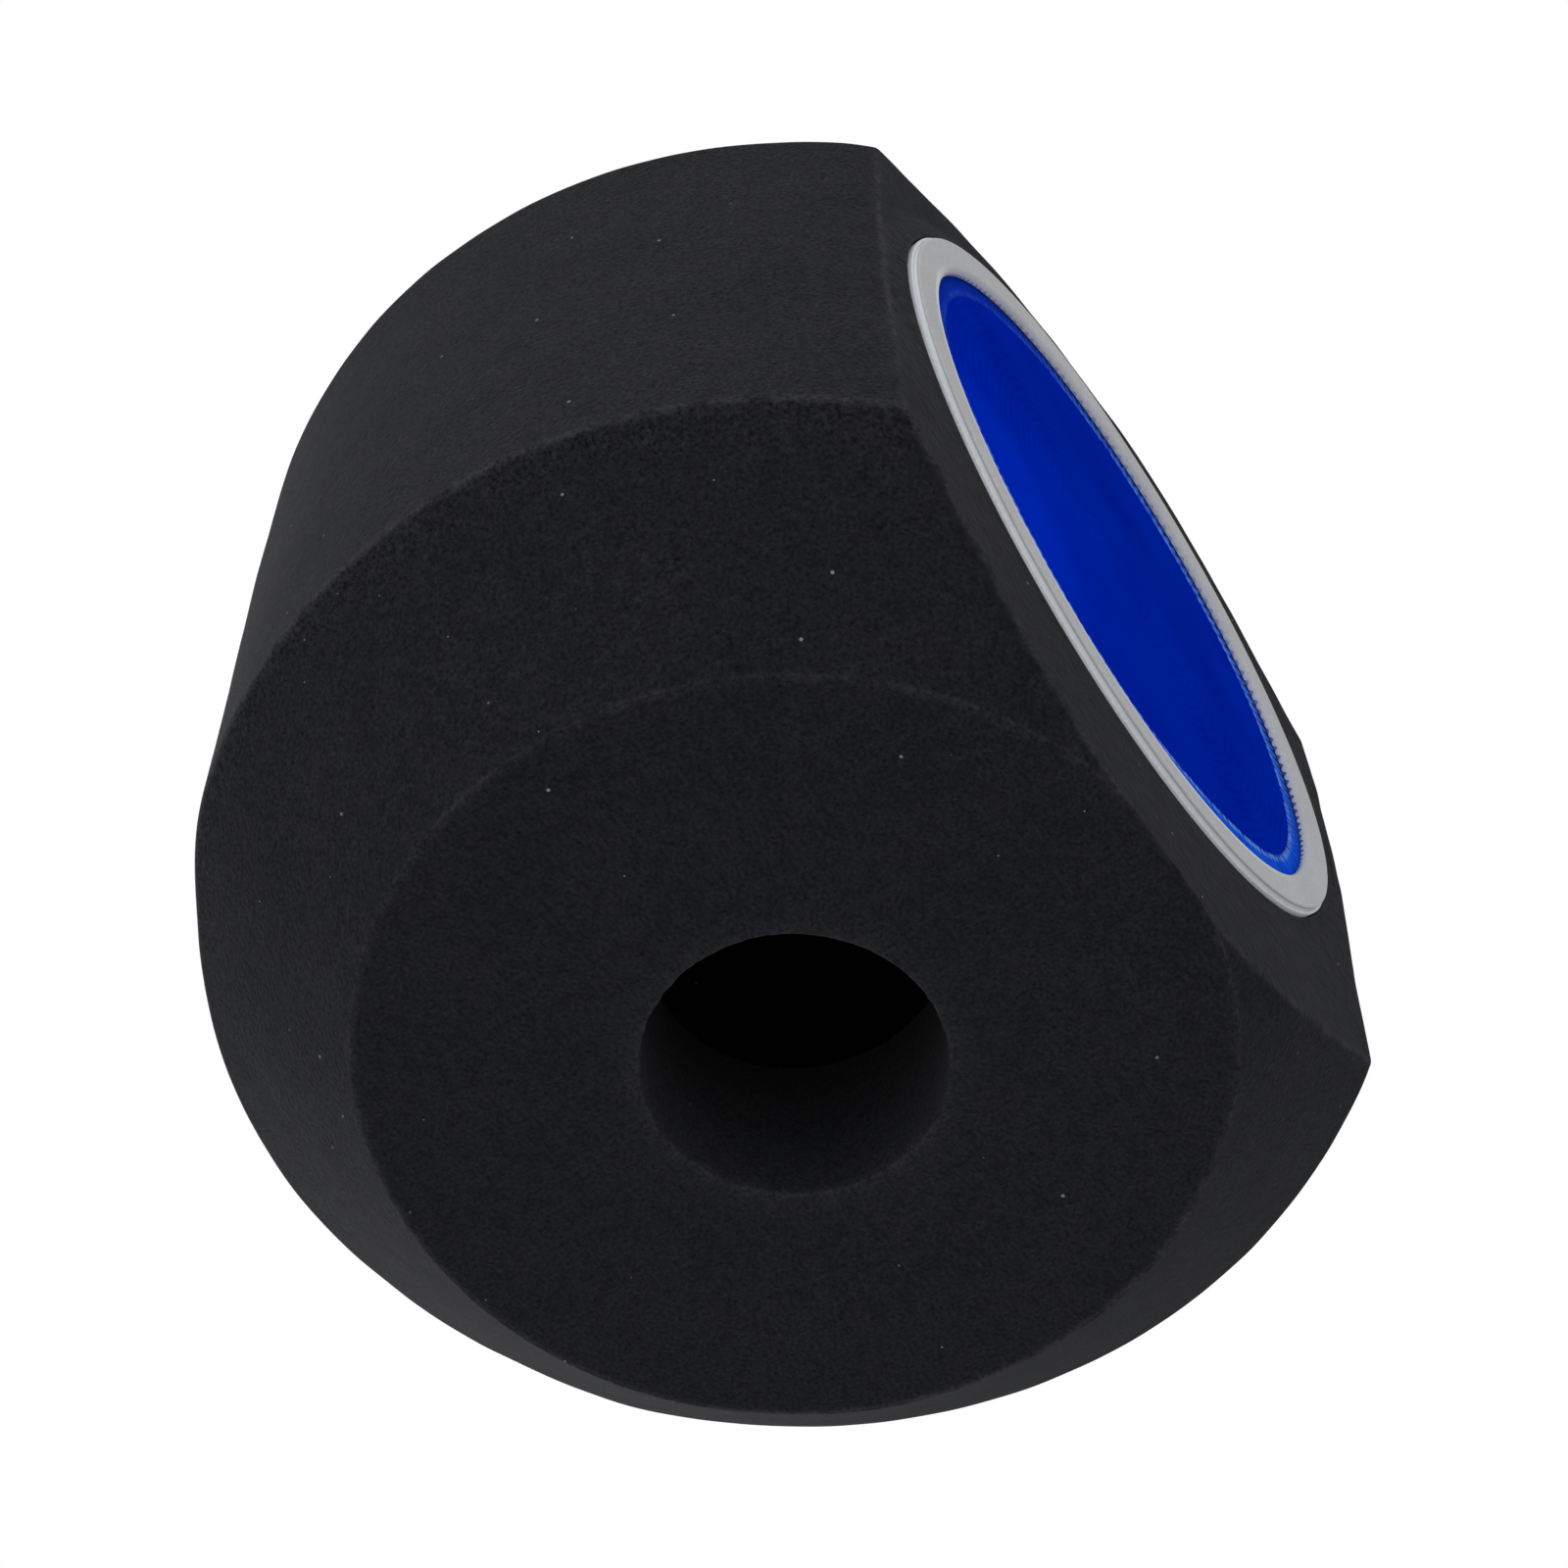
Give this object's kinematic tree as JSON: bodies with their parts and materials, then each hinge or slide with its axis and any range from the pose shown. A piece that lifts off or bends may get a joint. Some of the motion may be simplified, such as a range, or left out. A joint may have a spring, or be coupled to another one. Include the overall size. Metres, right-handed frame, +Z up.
{
  "type": "microphone isolation shield",
  "caption": "Chamfered black foam cylinder with a flat front, a round pull-out blue mesh pop filter, a hollow chamber and a microphone bore in its base.",
  "frame": {"origin": "centre of the microphone bore at the flat base face", "axes": "+Z up along the bore axis and the foam block's axis, -Y out of the pop filter in the flat front, +X across the front"},
  "size_m": [0.184, 0.1565, 0.163],
  "materials": {
    "foam": "fine-celled black acoustic foam with a soft felt-like skin",
    "ring_plastic": "light grey moulded plastic, satin",
    "mesh_nylon": "fine woven blue nylon"
  },
  "bodies": {
    "shield": {"foam_body": "foam"},
    "pop_filter": {"front_ring": "ring_plastic", "front_mesh": "mesh_nylon", "filter_hoop": "ring_plastic", "rear_mesh": "mesh_nylon", "rear_ring": "ring_plastic"}
  },
  "joints": [
    {"name": "filter_pull", "type": "slide", "parent": "shield", "child": "pop_filter", "axis": [0, -1, 0], "range_m": [0, 0.08]}
  ]
}
